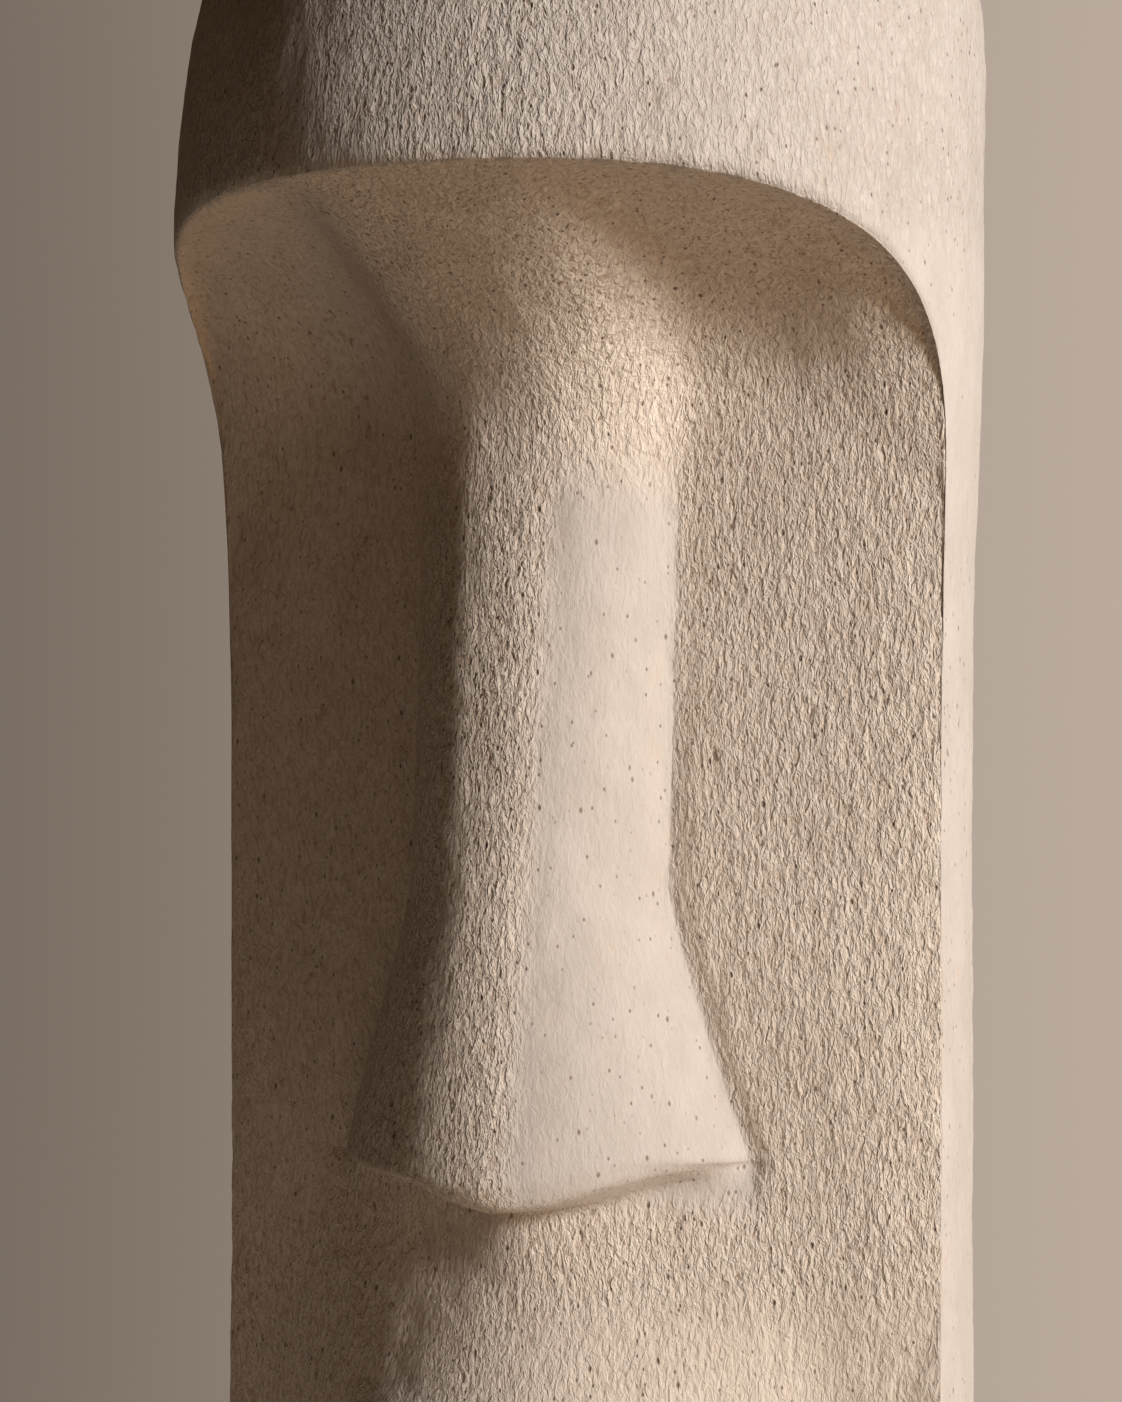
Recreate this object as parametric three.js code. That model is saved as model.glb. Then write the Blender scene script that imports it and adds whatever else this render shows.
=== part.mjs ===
// Moai totem: a round clay column with a long face carved into its front, standing on its flat underside.
// Millimetres, +Z up. The face looks along -Y and +X is on the right of someone who looks at it.
// The origin is the middle of the round foot, on the ground.
import * as THREE from "three";

// Column, from the ground up
const HEIGHT = 545;
const COLUMN_RADIUS = 97.3;
const FOOT_CHAMFER = 2.5;
const SWELL_RADIUS = 100.2;
const SWELL_START = 300;
const SWELL_END = 432;
const CROWN_START = 440;
const CROWN_POWER = 3.1;
const CROWN_LEAN = 7;
const LEAN_END = 500;

// Recess of the face: an arch under the brow, two upright edges and a shelf above the foot
const EDGE_ANGLE = THREE.MathUtils.degToRad(85.5);
const EDGE_SOFTENING = 0.9;
const EDGE_SOFT_ANGLE = THREE.MathUtils.degToRad(1.3);
const BROW_HEIGHT = 433;
const SPRING_HEIGHT = 350;
const ARCH_POWER = 3.2;
const COVE_HEIGHT = 56;
const BROW_LIP = 1.4;
const SHELF_HEIGHT = 34;
const SHELF_RISE = 22;
const SHELF_COVE = 18;
const FACE_DEPTH = 7.6;
const EDGE_ROLL = 2.5;
const EDGE_ROLL_POWER = 9;
const BRIDGE_FILL = 0.7;
const BRIDGE_FILL_HALF = 60;
const SOCKET_DEPTH = 4.5;
const SOCKET_HEIGHT = 406;
const SOCKET_SPREAD = 34;
const SOCKET_MIDDLE = 56;
const SOCKET_HALF = 30;

// Prow in which the two cheeks meet: how far it stands out near the brow and near the mouth, and its rounding
const PROW_TOP = 13;
const PROW_LOW = 25;
const PROW_TOP_HEIGHT = 370;
const PROW_LOW_HEIGHT = 225;
const RIDGE_ROUND = 6;
const MUZZLE_ROUND = 38;
const MUZZLE_ROUND_HEIGHT = 150;
const RIDGE_ROUND_HEIGHT = 190;

// Nose
const NOSE_BASE = 203.5;
const NOSE_BASE_SKEW = 1.5;
const NOSE_BASE_HALF = 55;
const NOSE_DROOP = 7;
const NOSE_DROOP_MIDDLE = 8;
const NOSE_DROOP_SPREAD = 34;
const NOSE_TIP_DEPTH = 64;
const BRIDGE_HEIGHT = 378;
const BRIDGE_DEPTH = 36;
const BRIDGE_HALF = 34.5;
const BRIDGE_RISE = 0.15;
const BRIDGE_FULLNESS = 2.6;
const TIP_FULLNESS = 2;
const RIDGE_SHIFT = 1.5;
const WING_START = 270;
const WING_POWER = 1.1;
const BRIDGE_SPREAD = 12;
const NOSE_BEVEL = 6.5;
const WING_BEVEL = 1.2;
const BEVEL_MIDDLE = 16;
const BEVEL_SPREAD = 44;
const NOSE_BEVEL_INSET = 3.5;
const NOSE_UNDERSIDE_DROP = 2.5;
const CREASE_BLEND = 4;
const COVE_BLEND = 12;

// Muzzle, lips and chin
const MUZZLE_TOP = 224;
const MUZZLE_FULL = 122;
const MUZZLE_DEPTH = 27;
const MUZZLE_HALF = 80;
const MUZZLE_SHIFT = 6;
const MUZZLE_SQUARENESS = 0.75;
const LIPS_TOP = 160;
const MOUTH_HEIGHT = 128;
const MOUTH_HALF = 50;
const MOUTH_DEPTH = 4;
const MOUTH_GAP = 5;
const LIP_OFFSET = 9.5;
const LIP_SPREAD = 12;
const LIP_DEPTH = 6;
const CHIN_HEIGHT = 84;
const CHIN_SPREAD = 25;
const CHIN_DEPTH = 13;
const CHIN_HALF = 60;
const JAW_TOP = 74;
const JAW_BOTTOM = 52;

// Spacing of the facets
const NOSE_COLUMNS = 6;
const CREASE_WIDTH = 3;
const FACE_COLUMNS = 12;
const NOSE_CROWDING = 0.9;
const EDGE_CROWDING = 0.5;
const SIDE_COLUMNS = 11;
const SHELF_ROWS = 3;
const MOUTH_ROWS = 25;
const MOUTH_CROWDING = 0.085;
const LIP_ROWS = 4;
const NOSE_ROWS = 14;
const NOSE_ROW_CROWDING = 1.2;
const COVE_ROWS = 6;
const CROWN_ROWS = 13;
const COLUMN_MIDDLE = 0;

function smooth(value) {
  const t = THREE.MathUtils.clamp(value, 0, 1);
  return t * t * (3 - 2 * t);
}

function bump(offset) {
  return Math.abs(offset) < 1 ? (1 - offset * offset) ** 2 : 0;
}

function smoothMax(a, b, blend) {
  const share = Math.max(blend - Math.abs(a - b), 0) / blend;
  return Math.max(a, b) + (share * share * blend) / 4;
}

// Round section at a height: its radius, and how far its middle leans back
function columnRadius(z) {
  const swell = (SWELL_RADIUS - COLUMN_RADIUS) * smooth((z - SWELL_START) / (SWELL_END - SWELL_START));
  const full = COLUMN_RADIUS + swell - FOOT_CHAMFER * Math.max(1 - z / FOOT_CHAMFER, 0);
  const rise = THREE.MathUtils.clamp((z - CROWN_START) / (HEIGHT - CROWN_START), 0, 1);
  return full * (1 - rise ** CROWN_POWER) ** (1 / CROWN_POWER);
}

function leanBack(z) {
  return CROWN_LEAN * smooth((z - SWELL_END) / (LEAN_END - SWELL_END));
}

// Height of the brow's edge and of the shelf's edge at an angle from the front
function superellipse(angle) {
  const share = Math.min(Math.abs(angle) / EDGE_ANGLE, 1);
  return (1 - share ** ARCH_POWER) ** (1 / ARCH_POWER);
}

function browEdge(angle) {
  return SPRING_HEIGHT + (BROW_HEIGHT - SPRING_HEIGHT) * superellipse(angle);
}

function shelfEdge(angle) {
  return SHELF_HEIGHT + SHELF_RISE * (1 - superellipse(angle));
}

// Half width of the nose, and how far its ridge stands in front of the column's axis
function noseHalf(z) {
  const wing = THREE.MathUtils.clamp((WING_START - z) / (WING_START - NOSE_BASE), 0, 1);
  return BRIDGE_HALF + (NOSE_BASE_HALF - BRIDGE_HALF) * wing ** WING_POWER;
}

function noseRidge(z) {
  const slope = (NOSE_TIP_DEPTH - BRIDGE_DEPTH) / (BRIDGE_HEIGHT - NOSE_BASE);
  const aboveBridge = Math.max(z - BRIDGE_HEIGHT, 0);
  return BRIDGE_DEPTH + slope * Math.max(BRIDGE_HEIGHT - z, 0) + BRIDGE_RISE * aboveBridge;
}

// Depth of the cheeks: they slope back from the prow and roll over at the face's upright edges
function cheekDepth(x, z) {
  const toBrow = smooth((z - PROW_LOW_HEIGHT) / (PROW_TOP_HEIGHT - PROW_LOW_HEIGHT));
  const prow = THREE.MathUtils.lerp(PROW_LOW, PROW_TOP, toBrow);
  const toNose = smooth((z - MUZZLE_ROUND_HEIGHT) / (RIDGE_ROUND_HEIGHT - MUZZLE_ROUND_HEIGHT));
  const away = Math.hypot(x, THREE.MathUtils.lerp(MUZZLE_ROUND, RIDGE_ROUND, toNose)) / COLUMN_RADIUS;
  const roll = EDGE_ROLL * (1 - Math.min(Math.abs(x) / COLUMN_RADIUS, 1) ** EDGE_ROLL_POWER);
  const aside = bump((Math.abs(x) - SOCKET_MIDDLE) / SOCKET_HALF);
  const socket = SOCKET_DEPTH * bump((z - SOCKET_HEIGHT) / SOCKET_SPREAD) * aside;
  return FACE_DEPTH + prow * Math.max(1 - away, 0) + roll - socket;
}

function noseDepth(x, z, inset) {
  const spread = BRIDGE_SPREAD * Math.max((z - BRIDGE_HEIGHT) / (BROW_HEIGHT - BRIDGE_HEIGHT), 0) ** 2;
  const half = noseHalf(z) + spread - inset;
  const across = Math.abs(x + RIDGE_SHIFT * Math.max(1 - (x / half) ** 2, 0)) / half;
  const cheek = cheekDepth(x, z);
  const height = noseRidge(z) - inset - cheek;
  const down = THREE.MathUtils.clamp((BRIDGE_HEIGHT - z) / (BRIDGE_HEIGHT - NOSE_BASE), 0, 1);
  const fullness = THREE.MathUtils.lerp(BRIDGE_FULLNESS, TIP_FULLNESS, down);
  return cheek + height * (1 - Math.min(across, 2) ** fullness);
}

// Height of the nose's lower outline: its tip droops
function noseBaseHeight(x) {
  const across = THREE.MathUtils.clamp(x / NOSE_BASE_HALF, -1, 1);
  return NOSE_BASE + NOSE_BASE_SKEW * across - NOSE_DROOP * bump((x - NOSE_DROOP_MIDDLE) / NOSE_DROOP_SPREAD);
}

// Muzzle, lips and chin, as a height above the cheeks
function lowerFace(x, z) {
  const jaw = smooth((z - JAW_BOTTOM) / (JAW_TOP - JAW_BOTTOM));
  const muzzleAcross = bump((x + MUZZLE_SHIFT) / MUZZLE_HALF) ** MUZZLE_SQUARENESS;
  const muzzle = MUZZLE_DEPTH * smooth((MUZZLE_TOP - z) / (MUZZLE_TOP - MUZZLE_FULL)) * muzzleAcross;
  const mouthAcross = Math.sqrt(bump(x / MOUTH_HALF));
  const lips = LIP_DEPTH * (bump((z - MOUTH_HEIGHT - LIP_OFFSET) / LIP_SPREAD)
    + bump((z - MOUTH_HEIGHT + LIP_OFFSET) / LIP_SPREAD));
  const groove = MOUTH_DEPTH * bump((z - MOUTH_HEIGHT) / MOUTH_GAP);
  const chin = CHIN_DEPTH * bump((z - CHIN_HEIGHT) / CHIN_SPREAD) * Math.sqrt(bump(x / CHIN_HALF));
  return jaw * (muzzle + (lips - groove) * mouthAcross + chin);
}

// Columns of vertices: an angle from the front for each, closest together on the nose and at the face's edges
function columnAngles() {
  const noseAngle = Math.asin(BRIDGE_HALF / COLUMN_RADIUS);
  const half = [];
  for (let i = 0; i <= NOSE_COLUMNS; i += 1) {
    half.push(noseAngle * Math.sin((i / NOSE_COLUMNS) * Math.PI * 0.5) ** NOSE_CROWDING);
  }
  const creaseAngle = Math.asin((BRIDGE_HALF + CREASE_WIDTH) / COLUMN_RADIUS);
  const faceSpan = EDGE_ANGLE - EDGE_SOFT_ANGLE - creaseAngle;
  for (let i = 0; i <= FACE_COLUMNS; i += 1) {
    const even = i / FACE_COLUMNS;
    const share = THREE.MathUtils.lerp(even, Math.sin(even * Math.PI * 0.5), EDGE_CROWDING);
    half.push(creaseAngle + faceSpan * share);
  }
  half.push(EDGE_ANGLE);
  half.push(EDGE_ANGLE + EDGE_SOFT_ANGLE);
  const sideStart = EDGE_ANGLE + EDGE_SOFT_ANGLE;
  for (let i = 1; i < SIDE_COLUMNS; i += 1) {
    half.push(sideStart + ((Math.PI - sideStart) * i) / SIDE_COLUMNS);
  }
  const mirrored = half.slice(1).reverse().map((angle) => -angle);
  return [...mirrored, ...half, Math.PI];
}

// Across position of a column at a height: the columns of the nose spread with its wings
function acrossAt(angle, z) {
  const nominal = columnRadius(Math.min(z, BROW_HEIGHT)) * Math.sin(Math.abs(angle));
  const edge = columnRadius(Math.min(z, BROW_HEIGHT)) * Math.sin(EDGE_ANGLE);
  const below = smooth((NOSE_BASE - z) / (NOSE_BASE - MOUTH_HEIGHT));
  const half = THREE.MathUtils.lerp(noseHalf(z), BRIDGE_HALF, below);
  const across = nominal < BRIDGE_HALF
    ? (nominal * half) / BRIDGE_HALF
    : half + ((nominal - BRIDGE_HALF) * (edge - half)) / (edge - BRIDGE_HALF);
  return Math.sign(angle) * across;
}

// A vertex on the outside of the column
function onColumn(angle, z, inset) {
  const radius = Math.max(columnRadius(z) - inset, 0);
  return new THREE.Vector3(radius * Math.sin(angle), leanBack(z) - radius * Math.cos(angle), z);
}

// A vertex inside the recess. Cover is 1 at the brow's or shelf's edge and 0 on the face below the cove.
function inRecess(angle, z, cover, nose, inset) {
  const x = acrossAt(angle, z);
  const radius = columnRadius(z);
  const column = Math.sqrt(Math.max(radius * radius - x * x, 0));
  const cheeks = cheekDepth(x, z) + lowerFace(x, z);
  const toBrow = smooth((z - SPRING_HEIGHT) / (BROW_HEIGHT - SPRING_HEIGHT));
  const blend = THREE.MathUtils.lerp(CREASE_BLEND, COVE_BLEND, toBrow);
  const face = nose ? smoothMax(cheeks, noseDepth(x, z, inset), blend) : cheeks;
  const fill = nose ? THREE.MathUtils.lerp(1, BRIDGE_FILL, bump(x / BRIDGE_FILL_HALF)) : 1;
  const depth = face + Math.max(column - face, 0) * cover ** fill;
  return new THREE.Vector3(x, -Math.min(depth, Math.max(column, face)), z);
}

// Rows of vertices from the ground to the crown. Each gives the vertex of one column.
function listRows() {
  const rows = [];
  const inside = (angle) => Math.abs(angle) < EDGE_ANGLE - EDGE_SOFT_ANGLE / 2;
  const outside = (angle, z) => {
    const soft = Math.max(1 - Math.abs(Math.abs(angle) - EDGE_ANGLE) / EDGE_SOFT_ANGLE, 0);
    return onColumn(angle, z, EDGE_SOFTENING * soft);
  };
  const addColumn = (height) => rows.push((angle) => onColumn(angle, height(angle), 0));
  const addEdge = (height) => rows.push((angle) => {
    const softened = Math.min(2 * superellipse(angle), 1);
    return onColumn(angle, height(angle), (BROW_LIP / 2) * softened);
  });
  const addFace = (height, cover, nose, inset) => rows.push((angle) => (inside(angle)
    ? inRecess(angle, height(angle), cover, nose, inset)
    : outside(angle, height(angle))));
  addColumn(() => 0);
  addColumn(() => FOOT_CHAMFER);
  addColumn((angle) => shelfEdge(angle) - BROW_LIP);
  addEdge(shelfEdge);
  for (let i = 1; i <= SHELF_ROWS; i += 1) {
    const turn = (i / SHELF_ROWS) * Math.PI * 0.5;
    addFace((angle) => shelfEdge(angle) + SHELF_COVE * (1 - Math.cos(turn)), 1 - Math.sin(turn), false, 0);
  }
  const mouthStart = (angle) => shelfEdge(angle) + SHELF_COVE;
  const noseUnder = (angle) => noseBaseHeight(acrossAt(angle, NOSE_BASE)) - NOSE_UNDERSIDE_DROP;
  const mouthShare = (MOUTH_HEIGHT - SHELF_HEIGHT - SHELF_COVE) / (LIPS_TOP - SHELF_HEIGHT - SHELF_COVE);
  const wave = (share) => MOUTH_CROWDING * Math.sin(2 * Math.PI * share);
  for (let i = 1; i <= MOUTH_ROWS; i += 1) {
    const even = i / MOUTH_ROWS;
    const crowded = even - wave(even - mouthShare) - wave(mouthShare);
    addFace((angle) => THREE.MathUtils.lerp(mouthStart(angle), LIPS_TOP, crowded), 0, false, 0);
  }
  for (let i = 1; i <= LIP_ROWS; i += 1) {
    addFace((angle) => THREE.MathUtils.lerp(LIPS_TOP, noseUnder(angle), i / LIP_ROWS), 0, false, 0);
  }
  const noseOutline = (angle) => noseBaseHeight(acrossAt(angle, NOSE_BASE));
  const noseCrease = (angle) => {
    const fromMiddle = (acrossAt(angle, NOSE_BASE) - BEVEL_MIDDLE) / BEVEL_SPREAD;
    return noseOutline(angle) + THREE.MathUtils.lerp(WING_BEVEL, NOSE_BEVEL, bump(fromMiddle));
  };
  addFace(noseOutline, 0, true, NOSE_BEVEL_INSET);
  addFace(noseCrease, 0, true, 0);
  const coveStart = (angle) => browEdge(angle) - COVE_HEIGHT;
  for (let i = 1; i <= NOSE_ROWS; i += 1) {
    const share = (i / NOSE_ROWS) ** NOSE_ROW_CROWDING;
    addFace((angle) => THREE.MathUtils.lerp(noseCrease(angle), coveStart(angle), share), 0, true, 0);
  }
  for (let i = COVE_ROWS - 1; i > 0; i -= 1) {
    const turn = (i / COVE_ROWS) * Math.PI * 0.5;
    addFace((angle) => browEdge(angle) - COVE_HEIGHT * (1 - Math.cos(turn)), 1 - Math.sin(turn), true, 0);
  }
  addEdge(browEdge);
  addColumn((angle) => browEdge(angle) + BROW_LIP);
  for (let i = 1; i < CROWN_ROWS; i += 1) {
    const share = Math.sin((i / CROWN_ROWS) * Math.PI * 0.5);
    addColumn((angle) => THREE.MathUtils.lerp(browEdge(angle) + BROW_LIP, HEIGHT, share));
  }
  return rows;
}

// The carved column as one closed body: rows joined by quads, a flat underside and a closed crown
function carveTotem() {
  const angles = columnAngles();
  const rows = listRows();
  const positions = [];
  const triangles = [];
  const at = (row, column) => row * angles.length + (column % angles.length);
  for (const row of rows) {
    for (const angle of angles) {
      positions.push(...row(angle).toArray());
    }
  }
  const offset = (a, b, axis) => positions[3 * a + axis] - positions[3 * b + axis];
  const distance = (a, b) => Math.hypot(offset(a, b, 0), offset(a, b, 1), offset(a, b, 2));
  const addQuad = (a, b, c, d) => {
    if (distance(a, c) <= distance(b, d)) {
      triangles.push(a, b, c, a, c, d);
    } else {
      triangles.push(a, b, d, b, c, d);
    }
  };
  const underside = positions.length / 3;
  positions.push(COLUMN_MIDDLE, COLUMN_MIDDLE, 0);
  const crown = positions.length / 3;
  positions.push(COLUMN_MIDDLE, leanBack(HEIGHT), HEIGHT);
  for (let column = 0; column < angles.length; column += 1) {
    triangles.push(underside, at(0, column + 1), at(0, column));
    triangles.push(crown, at(rows.length - 1, column), at(rows.length - 1, column + 1));
    for (let row = 0; row < rows.length - 1; row += 1) {
      addQuad(at(row, column), at(row, column + 1), at(row + 1, column + 1), at(row + 1, column));
    }
  }
  const geometry = new THREE.BufferGeometry();
  geometry.setAttribute("position", new THREE.Float32BufferAttribute(positions, 3));
  geometry.setIndex(triangles);
  geometry.computeVertexNormals();
  return geometry;
}

const clay = new THREE.MeshStandardMaterial({ color: 0xd8c4ae, roughness: 0.95, metalness: 0 });
const totem = new THREE.Mesh(carveTotem(), clay);
totem.name = "moai_totem";

const part = new THREE.Group();
part.add(totem);

export default part;
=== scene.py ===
"""Moai totem of unglazed grogged clay: its carved skin, the clay's finish, the studio and the camera.

Sizes are millimetres until they are multiplied by MM, which makes them Blender's metres.
+Z is up and the face looks along -Y.
"""
import math

import bpy
import numpy as np
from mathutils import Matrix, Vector, noise


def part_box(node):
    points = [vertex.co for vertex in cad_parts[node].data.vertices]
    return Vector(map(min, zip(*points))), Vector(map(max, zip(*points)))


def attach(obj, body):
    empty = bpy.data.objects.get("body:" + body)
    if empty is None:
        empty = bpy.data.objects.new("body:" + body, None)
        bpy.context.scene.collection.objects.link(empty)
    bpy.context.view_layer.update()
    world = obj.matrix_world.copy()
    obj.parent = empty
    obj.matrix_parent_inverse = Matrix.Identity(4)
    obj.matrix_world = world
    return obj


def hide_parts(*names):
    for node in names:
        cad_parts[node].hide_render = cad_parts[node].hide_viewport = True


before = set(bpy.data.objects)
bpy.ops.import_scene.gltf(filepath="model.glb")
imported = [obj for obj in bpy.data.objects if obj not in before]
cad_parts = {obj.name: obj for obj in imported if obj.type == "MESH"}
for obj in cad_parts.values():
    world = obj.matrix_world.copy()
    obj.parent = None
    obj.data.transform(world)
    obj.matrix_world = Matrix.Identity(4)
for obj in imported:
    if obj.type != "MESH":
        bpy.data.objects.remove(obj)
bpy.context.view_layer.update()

NODE = "moai_totem"
MM = 0.001
TINY = 1e-9

# Column, from the ground up; the crown is cut from a superellipse
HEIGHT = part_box(NODE)[1].z / MM
COLUMN_RADIUS = 97.3
FOOT_CHAMFER = 2.5
SWELL_RADIUS = 100.2
SWELL_START = 300
SWELL_END = 432
CROWN_START = 440
CROWN_POWER = 3.1
CROWN_LEAN = 7
LEAN_END = 500

# Recess of the face
EDGE_ANGLE = math.radians(85.5)
BROW_HEIGHT = 433
SPRING_HEIGHT = 350
ARCH_POWER = 3.2
COVE_HEIGHT = 56
SHELF_HEIGHT = 34
SHELF_RISE = 22
SHELF_COVE = 18
FACE_DEPTH = 7.6
BRIDGE_FILL = 0.65
BRIDGE_FILL_INNER = 22
BRIDGE_FILL_OUTER = 42
BRIDGE_SOFTNESS = 14
SOCKET_DEPTH = 4.5
SOCKET_HEIGHT = 406
SOCKET_SPREAD = 34
SOCKET_MIDDLE = 56
SOCKET_HALF = 30
EDGE_ROLL = 2.5
EDGE_ROLL_POWER = 9
PROW_TOP = 13
PROW_LOW = 25
PROW_TOP_HEIGHT = 370
PROW_LOW_HEIGHT = 225
RIDGE_ROUND = 6
MUZZLE_ROUND = 38
MUZZLE_ROUND_HEIGHT = 150
RIDGE_ROUND_HEIGHT = 190

# Nose
NOSE_BASE = 203.5
NOSE_BASE_SKEW = 1.5
NOSE_BASE_HALF = 55
NOSE_DROOP = 7
NOSE_DROOP_MIDDLE = 8
NOSE_DROOP_SPREAD = 34
NOSE_TIP_DEPTH = 64
BRIDGE_HEIGHT = 378
BRIDGE_DEPTH = 36
BRIDGE_HALF = 34.5
BRIDGE_RISE = 0.15
BRIDGE_FULLNESS = 2.6
TIP_FULLNESS = 2
RIDGE_SHIFT = 1.5
WING_START = 270
WING_POWER = 1.1
BRIDGE_SPREAD = 12
NOSE_BEVEL = 6.5
WING_BEVEL = 1.2
BEVEL_MIDDLE = 16
BEVEL_SPREAD = 44
NOSE_BEVEL_INSET = 3.5
NOSE_UNDERSIDE_DROP = 2.5
CREASE_BLEND = 4
COVE_BLEND = 12
CREASE_CUT = 1.6
CREASE_CUT_HALF = 5
CREASE_CUT_FADE = 60
UNDER_NOSE_FILL = 0.16
UNDER_NOSE_COVE = 24

# Muzzle, lips and chin
MUZZLE_TOP = 209
MUZZLE_FULL = 129
MUZZLE_DEPTH = 27
MUZZLE_HALF = 80
MUZZLE_POWER = 0.75
MUZZLE_SHIFT = 6
LIPS_TOP = 160
MOUTH_HEIGHT = 128
MOUTH_HALF = 50
MOUTH_POWER = 0.5
MOUTH_DEPTH = 4
MOUTH_GAP = 5
LIP_OFFSET = 9.5
LIP_SPREAD = 12
LIP_DEPTH = 6
CHIN_HEIGHT = 84
CHIN_SPREAD = 25
CHIN_DEPTH = 13
CHIN_HALF = 60
CHIN_POWER = 0.5
JAW_TOP = 74
JAW_BOTTOM = 52

# Fineness of the carved skin
NOSE_COLUMNS = 30
FACE_COLUMNS = 62
SIDE_COLUMNS = 36
FOOT_ROWS = 10
SHELF_ROWS = 16
MOUTH_ROWS = 62
MUZZLE_ROWS = 20
BASE_ROWS = 4
NOSE_ROWS = 96
COVE_ROWS = 40
CROWN_ROWS = 52
NOSE_COLUMN_POWER = 0.9
SIDE_COLUMN_POWER = 1.25
FOOT_ROW_POWER = 0.8
NOSE_ROW_POWER = 1.05
EDGE_CROWDING = 0.5
SOFTENING_PASSES = 1
SOFTENING_SHARE = 0.5

# Handmade unevenness, as scale and height of each kind, and how soon it starts above the ground
WAVES = ((58, 0.55), (21, 0.25), (8.0, 0.24), (3.4, 0.2))
WAVES_FADE = 6

# Zones of the finish: how far past a line each one starts, and over how far it fades in
NOSE_FOOT = (-14, 12)
NOSE_EDGE = (0, 6)
NOSE_TOP = (-4, 25)
FLANK_START = (6, 8)
FLANK_EDGE = (-3, 4)
FRONT_EDGE = (-10, 10)
CHEEK_EDGE = (0, 10)
CHEEK_FOOT = (-50, 40)
MUZZLE_LEFT_EDGE = (12, 20)
MUZZLE_LEFT_TOP = (10, 10)
MUZZLE_RIGHT_EDGE = (-12, 20)
MUZZLE_RIGHT_TOP = (20, 20)
COVE_START = (45, 25)
SIDE_EDGE = (70, 20)
SIDE_TOP = (-10, 30)
FOREHEAD_EDGE = (20, 50)
FOREHEAD_FOOT = (-30, 30)

# How much smoother or rougher than 1 each zone is
FLANK_SMOOTHING = 0.82
CHEEK_SMOOTHING = 0.4
SIDE_SMOOTHING = 0.75
FOREHEAD_SMOOTHING = 0.35
MUZZLE_SMOOTHING = 0.5
FRONT_ROUGHNESS = 0.6

# Names of the three values that every vertex of the skin carries
DRAGGED = "dragged"
SHADED_ZONE = "shaded_zone"
TORN = "torn"

# Marks in the clay, as width, length, detail, roughness and distortion of an upright noise, and how it bends
DRAGS = (1.35, 3.2, 3.0, 0.62, 0.5)
WORMS = (2.6, 8.5, 1.0, 0.5, 1.2)
GRAIN = (0.55, 0.8, 2.0, 0.6, 0.0)
LUMPS = (3.4, 7.0, 2.0, 0.5, 0.4)
PATCHES = (11.0, 24.0, 4.0, 0.6, 0.0)
STAINS = (7.0, 9.0, 3.0, 0.6, 0.0)
BEND = 4.0
BEND_LENGTH = 55
BEND_DETAIL = 1.0
NOISE_MIDDLE = 0.5

# Pits, as width and length of a cell, radius of the hole in it, and the share of cells that hold one
SMALL_PITS = (2.2, 3.4, 0.2, 0.5)
LARGE_PITS = (4.0, 7.0, 0.15, 0.45)
PIT_FLOOR = 0.3
PIT_CHOICE = 0.1

# Heights of the marks, and depths of the pits
DRAG_HEIGHT = 0.5
WORM_HEIGHT = 0.1
GRAIN_HEIGHT = 0.2
LUMP_HEIGHT = 0.7
SMALL_PIT_DEPTH = 0.3
LARGE_PIT_DEPTH = 0.5

# Ranges that spread() takes from a noise, with the new range after them where it isn't 0 to 1
DRAG_RANGE = (0.3, 0.7)
WORM_RANGE = (0.035, 0.0)
PATCH_RANGE = (0.3, 0.7)
STAIN_RANGE = (0.6, 0.8, 0.0, 0.45)
HOLLOW_SHADE_RANGE = (0.52, 0.28)
CREST_HIGHLIGHT_RANGE = (0.5, 0.68)
GOUGE_SHADE_RANGE = (0.35, 0.27, 0.0, 0.75)

# Colours and gloss of the clay
# The worn colours are painted darker, as painted shade of the clay's deep grooves
WORN_SHADED_DARK = (0.59, 0.505, 0.43)
WORN_SHADED_LIGHT = (0.645, 0.555, 0.48)
TORN_DARK = (0.76, 0.63, 0.51)
TORN_LIGHT = (0.83, 0.695, 0.57)
STAIN_COLOR = (0.68, 0.5, 0.38)
# Painted shade in the hollows of the drag marks
HOLLOW_SHADE_COLOR = (0.48, 0.30, 0.18)
# Painted highlight on the crests of the drag marks
CREST_HIGHLIGHT_COLOR = (0.88, 0.75, 0.62)
# Painted shade inside the pits and the deepest gouges
PIT_SHADE_COLOR = (0.17, 0.10, 0.065)
# Strength of the painted shade and highlight on the drag marks, and of the extra where the face lies in
# shadow
DRAG_SHADE_CONTRAST = 0.35
SHADED_ZONE_CONTRAST = 0.3
PIT_SHADE = 0.75
CLAY_ROUGHNESS = 0.9
CLAY_SPECULAR = 0.2

# Studio
FLOOR_RADIUS = 550
FLOOR_SIDES = 96
FLOOR_COLOR = (0.62, 0.55, 0.47)
FLOOR_ROUGHNESS = 0.9
# Wall colours, with painted shade on the left and painted light on the right
WALL_SHADED = (0.155, 0.125, 0.098)
WALL_LIT = (0.52, 0.43, 0.36)
WALL_RANGE = (-0.30, 0.28)
FILL_COLOR = (0.047, 0.029, 0.017)

# Softboxes, as name, azimuth and elevation in degrees, distance and width in metres, watts and colour
LAMPS = (
    ("key", 76, 18, 2.0, 0.5, 46, (0.93, 0.945, 0.965)),
    ("bounce", 72, -14, 2.0, 1.2, 6.5, (1.0, 0.66, 0.34)),
    ("rim", 150, 5, 1.5, 0.6, 2, (0.9, 0.95, 1.0)),
    ("back", -155, 40, 2.0, 0.5, 9, (1.0, 0.97, 0.93)),
)

# Sockets of Blender's Mix node when it blends colours
MIX_SHARE = 0
MIX_FIRST = 6
MIX_SECOND = 7
MIX_RESULT = 2

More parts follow.
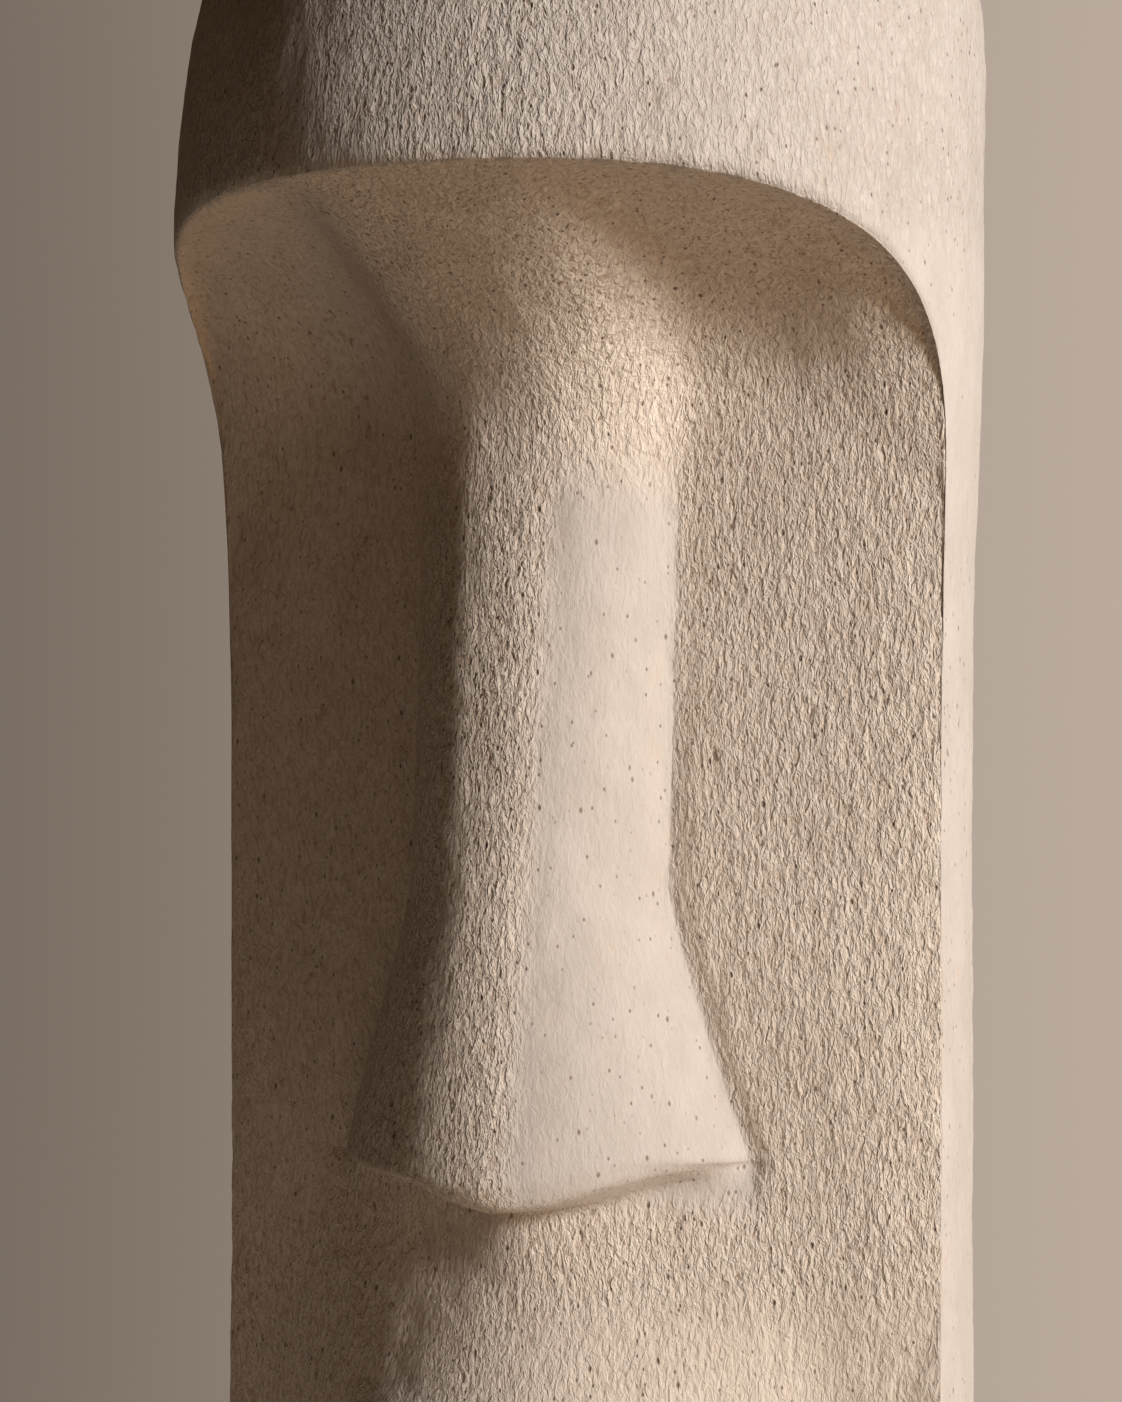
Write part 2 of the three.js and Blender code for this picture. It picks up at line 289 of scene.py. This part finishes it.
# Camera of the photograph
CAMERA_AZIMUTH = math.radians(25.5)
CAMERA_DISTANCE = 750
CAMERA_HEIGHT = 315
CAMERA_SIDESTEP = 4.6
PHOTO_LONG_SIDE = 1402
FOCAL_PIXELS = 3000
SENSOR_WIDTH = 36


def clamp(value, low, high):
    return np.minimum(np.maximum(value, low), high)


def smooth(value):
    t = clamp(value, 0, 1)
    return t * t * (3 - 2 * t)


def fade_in(value, start, length):
    return smooth((value - start) / length)


def mix(a, b, share):
    return a + (b - a) * share


def bump(offset):
    return clamp(1 - offset * offset, 0, 1) ** 2


def smooth_max(a, b, blend):
    share = np.maximum(blend - np.abs(a - b), 0) / blend
    return np.maximum(a, b) + share * share * blend / 4


# Forms of the totem, which follow the solid's

def column_radius(z):
    swell = (SWELL_RADIUS - COLUMN_RADIUS) * smooth((z - SWELL_START) / (SWELL_END - SWELL_START))
    full = COLUMN_RADIUS + swell - FOOT_CHAMFER * np.maximum(1 - z / FOOT_CHAMFER, 0)
    rise = clamp((z - CROWN_START) / (HEIGHT - CROWN_START), 0, 1)
    return full * (1 - rise ** CROWN_POWER) ** (1 / CROWN_POWER)


def lean_back(z):
    return CROWN_LEAN * smooth((z - SWELL_END) / (LEAN_END - SWELL_END))


def superellipse(angle):
    share = np.minimum(np.abs(angle) / EDGE_ANGLE, 1)
    return (1 - share ** ARCH_POWER) ** (1 / ARCH_POWER)


def brow_edge(angle):
    return SPRING_HEIGHT + (BROW_HEIGHT - SPRING_HEIGHT) * superellipse(angle)


def shelf_edge(angle):
    return SHELF_HEIGHT + SHELF_RISE * (1 - superellipse(angle))


def nose_half(z):
    wing = clamp((WING_START - z) / (WING_START - NOSE_BASE), 0, 1)
    return BRIDGE_HALF + (NOSE_BASE_HALF - BRIDGE_HALF) * wing ** WING_POWER


def nose_ridge(z):
    slope = (NOSE_TIP_DEPTH - BRIDGE_DEPTH) / (BRIDGE_HEIGHT - NOSE_BASE)
    above = z - BRIDGE_HEIGHT
    bend = np.hypot(above, BRIDGE_SOFTNESS)
    return BRIDGE_DEPTH + slope * (bend - above) / 2 + BRIDGE_RISE * (bend + above) / 2


def cheek_depth(x, z):
    """The two cheeks meet in a prow that stands out more towards the mouth, where it rounds off."""
    prow = mix(PROW_LOW, PROW_TOP, smooth((z - PROW_LOW_HEIGHT) / (PROW_TOP_HEIGHT - PROW_LOW_HEIGHT)))
    rounding = smooth((z - MUZZLE_ROUND_HEIGHT) / (RIDGE_ROUND_HEIGHT - MUZZLE_ROUND_HEIGHT))
    away = np.hypot(x, mix(MUZZLE_ROUND, RIDGE_ROUND, rounding)) / COLUMN_RADIUS
    roll = EDGE_ROLL * (1 - np.minimum(np.abs(x) / COLUMN_RADIUS, 1) ** EDGE_ROLL_POWER)
    beside = bump((np.abs(x) - SOCKET_MIDDLE) / SOCKET_HALF)
    socket = SOCKET_DEPTH * bump((z - SOCKET_HEIGHT) / SOCKET_SPREAD) * beside
    return FACE_DEPTH + prow * np.maximum(1 - away, 0) + roll - socket


def nose_depth(x, z, inset):
    widening = BRIDGE_SPREAD * np.maximum((z - BRIDGE_HEIGHT) / (BROW_HEIGHT - BRIDGE_HEIGHT), 0) ** 2
    half = nose_half(z) + widening - inset
    across = np.abs(x + RIDGE_SHIFT * np.maximum(1 - (x / half) ** 2, 0)) / half
    cheek = cheek_depth(x, z)
    height = nose_ridge(z) - inset - cheek
    down = clamp((BRIDGE_HEIGHT - z) / (BRIDGE_HEIGHT - NOSE_BASE), 0, 1)
    return cheek + height * (1 - np.minimum(across, 2) ** mix(BRIDGE_FULLNESS, TIP_FULLNESS, down))


def nose_base_height(x):
    across = clamp(x / NOSE_BASE_HALF, -1, 1)
    droop = NOSE_DROOP * bump((x - NOSE_DROOP_MIDDLE) / NOSE_DROOP_SPREAD)
    return NOSE_BASE + NOSE_BASE_SKEW * across - droop


def lower_face(x, z):
    jaw = smooth((z - JAW_BOTTOM) / (JAW_TOP - JAW_BOTTOM))
    slope = smooth((MUZZLE_TOP - z) / (MUZZLE_TOP - MUZZLE_FULL))
    muzzle = MUZZLE_DEPTH * slope * bump((x + MUZZLE_SHIFT) / MUZZLE_HALF) ** MUZZLE_POWER
    upper_lip = bump((z - MOUTH_HEIGHT - LIP_OFFSET) / LIP_SPREAD)
    lower_lip = bump((z - MOUTH_HEIGHT + LIP_OFFSET) / LIP_SPREAD)
    lips = LIP_DEPTH * (upper_lip + lower_lip) - MOUTH_DEPTH * bump((z - MOUTH_HEIGHT) / MOUTH_GAP)
    chin = CHIN_DEPTH * bump((z - CHIN_HEIGHT) / CHIN_SPREAD) * bump(x / CHIN_HALF) ** CHIN_POWER
    return jaw * (muzzle + lips * bump(x / MOUTH_HALF) ** MOUTH_POWER + chin)


def across_at(angle, z):
    """Across position of a column at a height: the nose's columns spread with its wings."""
    radius = column_radius(np.minimum(z, BROW_HEIGHT))
    nominal = radius * np.sin(np.abs(angle))
    edge = radius * math.sin(EDGE_ANGLE)
    below = smooth((NOSE_BASE - z) / (NOSE_BASE - MOUTH_HEIGHT))
    half = mix(nose_half(z), BRIDGE_HALF, below)
    on_nose = nominal * half / BRIDGE_HALF
    beside = half + (nominal - BRIDGE_HALF) * (edge - half) / (edge - BRIDGE_HALF)
    return np.sign(angle) * np.where(nominal < BRIDGE_HALF, on_nose, beside)


def on_column(angle, z):
    radius = np.maximum(column_radius(z), 0)
    return np.stack([radius * np.sin(angle), lean_back(z) - radius * np.cos(angle), z], axis=-1)


def in_recess(angle, z, cover, nose, inset):
    """Points on the face, or on the cove above it and the shelf below it as cover goes from 0 to 1."""
    x = across_at(angle, z)
    radius = column_radius(z)
    column = np.sqrt(np.maximum(radius * radius - x * x, 0))
    face = cheek_depth(x, z) + lower_face(x, z)
    if nose:
        blend = mix(CREASE_BLEND, COVE_BLEND, smooth((z - SPRING_HEIGHT) / (BROW_HEIGHT - SPRING_HEIGHT)))
        groove = CREASE_CUT * bump((np.abs(x) - nose_half(z)) / CREASE_CUT_HALF)
        face = smooth_max(face, nose_depth(x, z, inset), blend)
        face -= groove * smooth((SPRING_HEIGHT - z) / CREASE_CUT_FADE)
        aside = (np.abs(x) - BRIDGE_FILL_INNER) / (BRIDGE_FILL_OUTER - BRIDGE_FILL_INNER)
        cover = cover + BRIDGE_FILL * (1 - smooth(aside)) * cover * (1 - cover)
    depth = face + np.maximum(column - face, 0) * cover
    return np.stack([x, -np.minimum(depth, np.maximum(column, face)), z], axis=-1)


def column_angles():
    """An angle from the front for each column of vertices, both ways round to the back."""
    nose_angle = math.asin(BRIDGE_HALF / COLUMN_RADIUS)
    shares = np.linspace(0, 1, NOSE_COLUMNS, endpoint=False)
    nose = nose_angle * np.sin(shares * math.pi / 2) ** NOSE_COLUMN_POWER
    even = np.linspace(0, 1, FACE_COLUMNS)
    crowded = mix(even, np.sin(even * math.pi / 2), EDGE_CROWDING)
    face = nose_angle + (EDGE_ANGLE - nose_angle) * crowded
    start = 2 * face[-1] - face[-2]
    shares = np.linspace(0, 1, SIDE_COLUMNS, endpoint=False)
    side = start + (math.pi - start) * shares ** SIDE_COLUMN_POWER
    half = np.concatenate([nose, face, side])
    return np.concatenate([-half[:0:-1], half, [math.pi]])


def skin_rows(angles):
    """Rows of vertices from the ground to the crown."""
    rows = []
    inside = (np.abs(angles) < EDGE_ANGLE - TINY)[:, None]

    def add_column(z):
        rows.append(on_column(angles, z + 0 * angles))

    def add_face(z, cover, nose=False, inset=0.0):
        z = z + 0 * angles
        rows.append(np.where(inside, in_recess(angles, z, cover, nose, inset), on_column(angles, z)))

    brow = brow_edge(angles)
    shelf = shelf_edge(angles)
    for share in np.linspace(0, 1, FOOT_ROWS) ** FOOT_ROW_POWER:
        add_column(shelf * share)
    for turn in np.linspace(0, math.pi / 2, SHELF_ROWS + 1)[1:]:
        add_face(shelf + SHELF_COVE * (1 - math.cos(turn)), 1 - math.sin(turn))
    for share in np.linspace(0, 1, MOUTH_ROWS + 1)[1:]:
        add_face(mix(shelf + SHELF_COVE, LIPS_TOP, share), 0)
    across = across_at(angles, NOSE_BASE + 0 * angles)
    outline = nose_base_height(across)
    overhang = np.maximum(nose_depth(across, NOSE_BASE, 0) - cheek_depth(across, NOSE_BASE), 0)
    overhang = np.where(np.abs(across) < NOSE_BASE_HALF, overhang, 0)
    for share in np.linspace(0, 1, MUZZLE_ROWS + 1)[1:]:
        height = mix(LIPS_TOP, outline - NOSE_UNDERSIDE_DROP, share)
        add_face(height, 0)
        rows[-1][:, 1] -= UNDER_NOSE_FILL * overhang * bump((outline - height) / UNDER_NOSE_COVE)
    bevel = mix(WING_BEVEL, NOSE_BEVEL, bump((across - BEVEL_MIDDLE) / BEVEL_SPREAD))
    for share in np.linspace(0, 1, BASE_ROWS + 1):
        add_face(outline + bevel * share, 0, True, NOSE_BEVEL_INSET * (1 - share))
    for share in np.linspace(0, 1, NOSE_ROWS + 1)[1:] ** NOSE_ROW_POWER:
        add_face(mix(outline + bevel, brow - COVE_HEIGHT, share), 0, True)
    for turn in np.linspace(math.pi / 2, 0, COVE_ROWS + 1)[1:-1]:
        add_face(brow - COVE_HEIGHT * (1 - math.cos(turn)), 1 - math.sin(turn), True)
    for share in np.sin(np.linspace(0, 1, CROWN_ROWS, endpoint=False) * math.pi / 2):
        add_column(mix(brow, HEIGHT, share))
    return np.stack(rows)


def soften(grid, passes):
    """Rubs the arrises a little, as a wet hand does."""
    for _ in range(passes):
        beside = (np.roll(grid, 1, axis=1) + np.roll(grid, -1, axis=1)) / 2
        along = grid.copy()
        along[1:-1] = (grid[:-2] + grid[2:]) / 2
        grid[2:-1] = mix(grid, (beside + along) / 2, SOFTENING_SHARE)[2:-1]
    return grid


def normals_of(grid):
    beside = np.roll(grid, -1, axis=1) - np.roll(grid, 1, axis=1)
    along = np.gradient(grid, axis=0)
    out = np.cross(beside, along)
    return out / np.maximum(np.linalg.norm(out, axis=-1, keepdims=True), TINY)


def unevenness(grid):
    """Height of the handmade waves at each vertex."""
    flat = grid.reshape(-1, 3)
    height = np.zeros(len(flat))
    for scale, tall in WAVES:
        height += [tall * noise.noise(Vector(point / scale)) for point in flat]
    return height.reshape(grid.shape[:2])


def carve_skin():
    grid = soften(skin_rows(column_angles()), SOFTENING_PASSES)
    keep = clamp(grid[..., 2:3] / WAVES_FADE, 0, 1)
    grid += normals_of(grid) * unevenness(grid)[..., None] * keep
    return grid


def finish_zones(grid):
    """At each vertex, how proud the drag marks stand, where the face lies in shadow and its marks get more
    painted shade and highlight, and how torn the clay is.
    """
    x, z = grid[..., 0], grid[..., 2]
    angles = column_angles()
    inside = (np.abs(angles) < EDGE_ANGLE) & (z < brow_edge(angles)) & (z > shelf_edge(angles))
    outside = ~inside
    on_nose = inside * fade_in(z - NOSE_BASE, *NOSE_FOOT) * fade_in(BRIDGE_HEIGHT - z, *NOSE_TOP)
    flank = on_nose * fade_in(x, *FLANK_START) * fade_in(nose_half(z) - x, *FLANK_EDGE)
    front = on_nose * fade_in(-x, *FRONT_EDGE) * fade_in(nose_half(z) - np.abs(x), *NOSE_EDGE)
    left_cheek = inside * fade_in(-x - nose_half(z), *CHEEK_EDGE) * fade_in(z - MUZZLE_TOP, *CHEEK_FOOT)
    muzzle_left = inside * fade_in(-x, *MUZZLE_LEFT_EDGE) * fade_in(NOSE_BASE - z, *MUZZLE_LEFT_TOP)
    muzzle_right = inside * fade_in(x, *MUZZLE_RIGHT_EDGE) * fade_in(NOSE_BASE - z, *MUZZLE_RIGHT_TOP)
    cove = inside * fade_in(z - SPRING_HEIGHT, *COVE_START)
    sides = outside * fade_in(np.abs(x), *SIDE_EDGE) * fade_in(BROW_HEIGHT - z, *SIDE_TOP)
    forehead = outside * fade_in(x, *FOREHEAD_EDGE) * fade_in(z - BROW_HEIGHT, *FOREHEAD_FOOT)
    smoothed = np.maximum.reduce([
        FLANK_SMOOTHING * flank,
        CHEEK_SMOOTHING * left_cheek,
        SIDE_SMOOTHING * sides,
        FOREHEAD_SMOOTHING * forehead,
        MUZZLE_SMOOTHING * muzzle_right,
    ])
    dragged = 1 + FRONT_ROUGHNESS * front - smoothed
    # The cove, the left cheek and the left of the muzzle lie in shadow; their marks get stronger painted
    # shade and highlight
    shaded_zone = np.maximum.reduce([cove, left_cheek, muzzle_left])
    torn = inside * (1 - flank)
    return dragged, shaded_zone, torn


def place(grid):
    """One closed mesh of the skin's quads, a flat underside and a closed crown."""
    rows, columns = grid.shape[:2]
    ends = [[0, 0, 0], [0, float(lean_back(HEIGHT)), HEIGHT]]
    verts = np.concatenate([grid.reshape(-1, 3), ends]) * MM
    underside = rows * columns
    crown = underside + 1
    top = underside - columns
    faces = []
    for row in range(rows - 1):
        for column in range(columns):
            after = (column + 1) % columns
            low = row * columns
            high = low + columns
            faces.append((low + column, low + after, high + after, high + column))
    for column in range(columns):
        after = (column + 1) % columns
        faces.append((underside, after, column))
        faces.append((crown, top + column, top + after))
    mesh = bpy.data.meshes.new("totem_skin")
    mesh.from_pydata(verts.tolist(), [], faces)
    mesh.polygons.foreach_set("use_smooth", [True] * len(faces))
    mesh.update()
    for name, zone in zip((DRAGGED, SHADED_ZONE, TORN), finish_zones(grid)):
        values = np.append(zone.reshape(-1), np.ones(len(ends)))
        layer = mesh.attributes.new(name, "FLOAT", "POINT")
        layer.data.foreach_set("value", values.astype(np.float32))
    totem = bpy.data.objects.new("totem_skin", mesh)
    bpy.context.scene.collection.objects.link(totem)
    return totem


# Finish

def add(tree, kind, **settings):
    node = tree.nodes.new(kind)
    for name, value in settings.items():
        setattr(node, name, value)
    return node


def math_node(tree, operation, *values):
    node = add(tree, "ShaderNodeMath", operation=operation)
    for index, value in enumerate(values):
        if isinstance(value, (int, float)):
            node.inputs[index].default_value = value
        else:
            tree.links.new(value, node.inputs[index])
    return node.outputs[0]


def stretched(tree, across, upright):
    """Object coordinates in units of one mark, longer upright than across and a little bent."""
    coords = add(tree, "ShaderNodeTexCoord")
    bend = add(tree, "ShaderNodeTexNoise")
    bend.inputs["Scale"].default_value = 1 / BEND_LENGTH / MM
    bend.inputs["Detail"].default_value = BEND_DETAIL
    tree.links.new(coords.outputs["Object"], bend.inputs["Vector"])
    centred = add(tree, "ShaderNodeVectorMath", operation="SUBTRACT")
    centred.inputs[1].default_value = (NOISE_MIDDLE, NOISE_MIDDLE, NOISE_MIDDLE)
    tree.links.new(bend.outputs["Color"], centred.inputs[0])
    shift = add(tree, "ShaderNodeVectorMath", operation="MULTIPLY")
    shift.inputs[1].default_value = (BEND * MM, BEND * MM, 0)
    tree.links.new(centred.outputs[0], shift.inputs[0])
    bent = add(tree, "ShaderNodeVectorMath", operation="ADD")
    tree.links.new(coords.outputs["Object"], bent.inputs[0])
    tree.links.new(shift.outputs[0], bent.inputs[1])
    mapping = add(tree, "ShaderNodeMapping")
    mapping.inputs["Scale"].default_value = (1 / across / MM, 1 / across / MM, 1 / upright / MM)
    tree.links.new(bent.outputs[0], mapping.inputs["Vector"])
    return mapping.outputs["Vector"]


def noise_height(tree, across, upright, detail, roughness, distortion):
    node = add(tree, "ShaderNodeTexNoise")
    node.inputs["Scale"].default_value = 1.0
    node.inputs["Detail"].default_value = detail
    node.inputs["Roughness"].default_value = roughness
    node.inputs["Distortion"].default_value = distortion
    tree.links.new(stretched(tree, across, upright), node.inputs["Vector"])
    return node.outputs["Fac"]


def spread(tree, value, low, high, to_low=0.0, to_high=1.0):
    """The value between low and high, spread over a new range with soft ends."""
    node = add(tree, "ShaderNodeMapRange", interpolation_type="SMOOTHSTEP")
    for name, level in zip(("From Min", "From Max", "To Min", "To Max"), (low, high, to_low, to_high)):
        node.inputs[name].default_value = level
    tree.links.new(value, node.inputs["Value"])
    return node.outputs["Result"]


def pits(tree, across, upright, size, share):
    """Small oval holes, 1 in the middle of a hole and 0 around it; only a share of the cells holds one."""
    cells = add(tree, "ShaderNodeTexVoronoi", feature="F1")
    cells.inputs["Scale"].default_value = 1.0
    tree.links.new(stretched(tree, across, upright), cells.inputs["Vector"])
    hole = spread(tree, cells.outputs["Distance"], size, PIT_FLOOR * size)
    split = add(tree, "ShaderNodeSeparateColor")
    tree.links.new(cells.outputs["Color"], split.inputs[0])
    chosen = spread(tree, split.outputs[0], share + PIT_CHOICE, share - PIT_CHOICE)
    return math_node(tree, "MULTIPLY", hole, chosen)


def blend_color(tree, share, first, second):
    node = add(tree, "ShaderNodeMix", data_type="RGBA")
    tree.links.new(share, node.inputs[MIX_SHARE])
    for index, value in ((MIX_FIRST, first), (MIX_SECOND, second)):
        if isinstance(value, tuple):
            node.inputs[index].default_value = (*value, 1)
        else:
            tree.links.new(value, node.inputs[index])
    return node.outputs[MIX_RESULT]


def vertex_value(tree, name):
    return add(tree, "ShaderNodeAttribute", attribute_name=name).outputs["Fac"]


def clay_relief(tree, marks):
    """Bump normal of the marks, each a form and its height, higher where the clay is dragged."""
    height = None
    for form, tall in marks:
        raised = math_node(tree, "MULTIPLY", form, tall)
        height = raised if height is None else math_node(tree, "ADD", height, raised)
    relief = add(tree, "ShaderNodeBump")
    relief.inputs["Strength"].default_value = 1.0
    relief.inputs["Distance"].default_value = MM
    rubbed = math_node(tree, "MULTIPLY", height, vertex_value(tree, DRAGGED))
    tree.links.new(rubbed, relief.inputs["Height"])
    return relief.outputs["Normal"]


def clay_color(tree, drags, holes):
    """Worn or torn clay in soft patches, stained here and there; the worn clay is painted darker as shade of
    its grooves, and the marks carry painted shade in their hollows, gouges and pits and painted highlights
    on their crests.
    """
    rub = vertex_value(tree, DRAGGED)
    cloud = spread(tree, noise_height(tree, *PATCHES), *PATCH_RANGE)
    # Worn clay holds painted shade: it is darker, standing for the shadow in its grooves
    worn_shaded = blend_color(tree, cloud, WORN_SHADED_DARK, WORN_SHADED_LIGHT)
    torn = blend_color(tree, cloud, TORN_DARK, TORN_LIGHT)
    body = blend_color(tree, vertex_value(tree, TORN), worn_shaded, torn)
    stain = spread(tree, noise_height(tree, *STAINS), *STAIN_RANGE)
    stained = blend_color(tree, stain, body, STAIN_COLOR)
    drag_shade_contrast = math_node(tree, "MULTIPLY", rub, DRAG_SHADE_CONTRAST)
    # Painted shade and highlight: the marks get more contrast where the face lies in shadow
    shaded_zone_contrast = math_node(tree, "MULTIPLY", vertex_value(tree, SHADED_ZONE), SHADED_ZONE_CONTRAST)
    contrast = math_node(tree, "ADD", drag_shade_contrast, shaded_zone_contrast)
    # Painted shade: the hollows of the drag marks are darkened, as if in shadow
    hollow_shade = math_node(tree, "MULTIPLY", spread(tree, drags, *HOLLOW_SHADE_RANGE), contrast)
    shaded = blend_color(tree, hollow_shade, stained, HOLLOW_SHADE_COLOR)
    # Painted highlight: the crests of the drag marks are lightened, as if catching the light
    crest_highlight = math_node(tree, "MULTIPLY", spread(tree, drags, *CREST_HIGHLIGHT_RANGE), contrast)
    lit = blend_color(tree, crest_highlight, shaded, CREST_HIGHLIGHT_COLOR)
    # Painted shade: the deepest drag gouges and the pits are darkened, as the shadow inside them
    gouge_shade = math_node(tree, "MULTIPLY", spread(tree, drags, *GOUGE_SHADE_RANGE), rub)
    dark = math_node(tree, "MAXIMUM", gouge_shade, math_node(tree, "MULTIPLY", holes, PIT_SHADE))
    return blend_color(tree, dark, lit, PIT_SHADE_COLOR)


def clay_material():
    clay = bpy.data.materials.new("clay")
    clay.use_nodes = True
    tree = clay.node_tree
    shader = tree.nodes["Principled BSDF"]
    shader.inputs["Roughness"].default_value = CLAY_ROUGHNESS
    shader.inputs["Specular IOR Level"].default_value = CLAY_SPECULAR

    drags = noise_height(tree, *DRAGS)
    from_middle = math_node(tree, "SUBTRACT", noise_height(tree, *WORMS), NOISE_MIDDLE)
    worms = spread(tree, math_node(tree, "ABSOLUTE", from_middle), *WORM_RANGE)
    small = pits(tree, *SMALL_PITS)
    large = pits(tree, *LARGE_PITS)
    marks = (
        (spread(tree, drags, *DRAG_RANGE), DRAG_HEIGHT),
        (worms, WORM_HEIGHT),
        (noise_height(tree, *GRAIN), GRAIN_HEIGHT),
        (noise_height(tree, *LUMPS), LUMP_HEIGHT),
        (small, -SMALL_PIT_DEPTH),
        (large, -LARGE_PIT_DEPTH),
    )
    holes = math_node(tree, "MAXIMUM", small, large)
    tree.links.new(clay_relief(tree, marks), shader.inputs["Normal"])
    tree.links.new(clay_color(tree, drags, holes), shader.inputs["Base Color"])
    return clay


# Lights, floor and wall

def turned(azimuth, elevation=0):
    """Way out from the totem's axis, turned from its front towards its left hand and raised."""
    level = math.cos(elevation)
    return Vector((math.sin(azimuth) * level, -math.cos(azimuth) * level, math.sin(elevation)))


def softbox(name, azimuth, elevation, distance, width, power, color):
    """A round soft light aimed at the middle of the face."""
    light = bpy.data.lights.new(name, "AREA")
    light.shape = "DISK"
    light.size = width
    light.energy = power
    light.color = color
    lamp = bpy.data.objects.new(name, light)
    away = turned(math.radians(azimuth), math.radians(elevation))
    lamp.location = Vector((0, 0, CAMERA_HEIGHT * MM)) + distance * away
    lamp.rotation_euler = away.to_track_quat("Z", "Y").to_euler()
    bpy.context.scene.collection.objects.link(lamp)


def floor():
    mesh = bpy.data.meshes.new("floor")
    turns = np.linspace(0, 2 * math.pi, FLOOR_SIDES, endpoint=False)
    ring = [(FLOOR_RADIUS * MM * math.cos(turn), FLOOR_RADIUS * MM * math.sin(turn), 0) for turn in turns]
    mesh.from_pydata(ring, [], [tuple(range(FLOOR_SIDES))])
    mesh.update()
    paint = bpy.data.materials.new("floor")
    paint.use_nodes = True
    shader = paint.node_tree.nodes["Principled BSDF"]
    shader.inputs["Base Color"].default_value = (*FLOOR_COLOR, 1)
    shader.inputs["Roughness"].default_value = FLOOR_ROUGHNESS
    mesh.materials.append(paint)
    plane = bpy.data.objects.new("floor", mesh)
    bpy.context.scene.collection.objects.link(plane)


def camera_right():
    return Vector((math.cos(CAMERA_AZIMUTH), math.sin(CAMERA_AZIMUTH), 0))


def studio_world():
    """A warm wall colour that grows lighter to the right behind the totem as painted light, seen only by the
    camera, and a dim warm fill.
    """
    world = bpy.data.worlds.new("studio")
    world.use_nodes = True
    tree = world.node_tree
    wall = tree.nodes["Background"]
    coords = add(tree, "ShaderNodeTexCoord")
    rightward = add(tree, "ShaderNodeVectorMath", operation="DOT_PRODUCT")
    rightward.inputs[1].default_value = camera_right()
    tree.links.new(coords.outputs["Generated"], rightward.inputs[0])
    # Painted light: the wall that the camera sees is lighter towards its right
    ramp = spread(tree, rightward.outputs["Value"], *WALL_RANGE)
    tree.links.new(blend_color(tree, ramp, WALL_SHADED, WALL_LIT), wall.inputs["Color"])

    fill = add(tree, "ShaderNodeBackground")
    fill.inputs["Color"].default_value = (*FILL_COLOR, 1)
    rays = add(tree, "ShaderNodeLightPath")
    chosen = add(tree, "ShaderNodeMixShader")
    tree.links.new(rays.outputs["Is Camera Ray"], chosen.inputs[0])
    tree.links.new(fill.outputs[0], chosen.inputs[1])
    tree.links.new(wall.outputs[0], chosen.inputs[2])
    tree.links.new(chosen.outputs[0], tree.nodes["World Output"].inputs["Surface"])
    bpy.context.scene.world = world


def photo_camera():
    lens = bpy.data.cameras.new("camera")
    lens.sensor_width = SENSOR_WIDTH
    lens.lens = SENSOR_WIDTH * FOCAL_PIXELS / PHOTO_LONG_SIDE
    camera = bpy.data.objects.new("camera", lens)
    middle = Vector((0, 0, CAMERA_HEIGHT))
    eye = middle + turned(CAMERA_AZIMUTH) * CAMERA_DISTANCE - camera_right() * CAMERA_SIDESTEP
    camera.location = eye * MM
    camera.rotation_euler = (math.pi / 2, 0, CAMERA_AZIMUTH)
    bpy.context.scene.collection.objects.link(camera)
    bpy.context.scene.camera = camera


totem = place(carve_skin())
totem.data.materials.append(clay_material())
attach(totem, "root")
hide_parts(NODE)

floor()
studio_world()
for lamp in LAMPS:
    softbox(*lamp)
photo_camera()
bpy.context.scene.view_settings.view_transform = "Standard"
